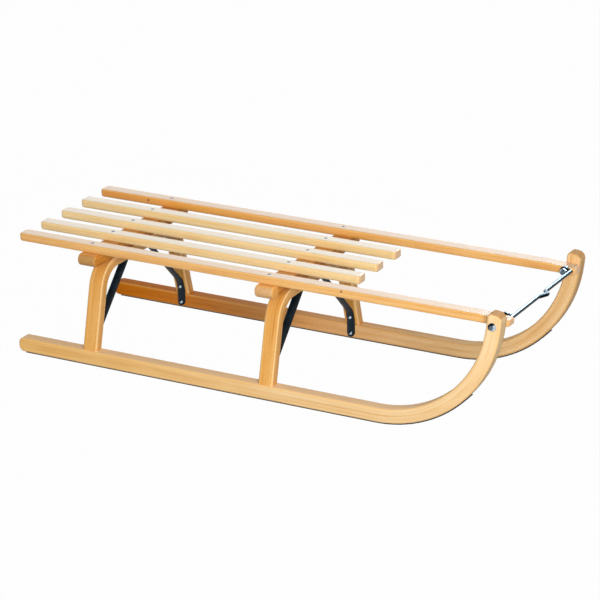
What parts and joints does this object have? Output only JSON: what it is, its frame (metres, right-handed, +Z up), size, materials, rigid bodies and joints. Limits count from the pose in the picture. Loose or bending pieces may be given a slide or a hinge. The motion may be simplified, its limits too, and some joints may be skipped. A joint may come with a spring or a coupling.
{
  "type": "wooden davos sled",
  "caption": "Low wooden sled with bent horned runners on steel shoes, splayed bows, long seat slats and a front rod for a pull cord.",
  "frame": {"origin": "on the ground, in the middle of the overall length and width", "axes": "+X forwards towards the horns, +Y to the sled's left, +Z up"},
  "size_m": [1.0072, 0.366, 0.2441],
  "materials": {
    "runner_beech": "steam-bent beech, clear satin varnish",
    "bow_beech": "steam-bent beech, clear satin varnish",
    "bar_beech": "planed beech, clear satin varnish",
    "slat_beech": "planed beech, clear satin varnish",
    "shoe_steel": "hot-rolled flat steel, dull and dark",
    "strut_steel": "black enamel, satin",
    "zinc_steel": "bright zinc plating"
  },
  "bodies": {
    "root": {"runner_right": "runner_beech", "runner_left": "runner_beech", "shoe_right": "shoe_steel", "shoe_left": "shoe_steel", "bow_rear": "bow_beech", "bow_front": "bow_beech", "cross_bar_rear": "bar_beech", "cross_bar_front": "bar_beech", "slat_outer_right": "slat_beech", "slat_inner_right": "slat_beech", "slat_middle": "slat_beech", "slat_inner_left": "slat_beech", "slat_outer_left": "slat_beech", "strut_rear_right": "strut_steel", "strut_rear_left": "strut_steel", "strut_front_right": "strut_steel", "strut_front_left": "strut_steel", "horn_bolt_right": "zinc_steel", "horn_bolt_left": "zinc_steel", "horn_nut_right": "zinc_steel", "horn_nut_left": "zinc_steel", "front_rod": "zinc_steel"}
  },
  "joints": []
}
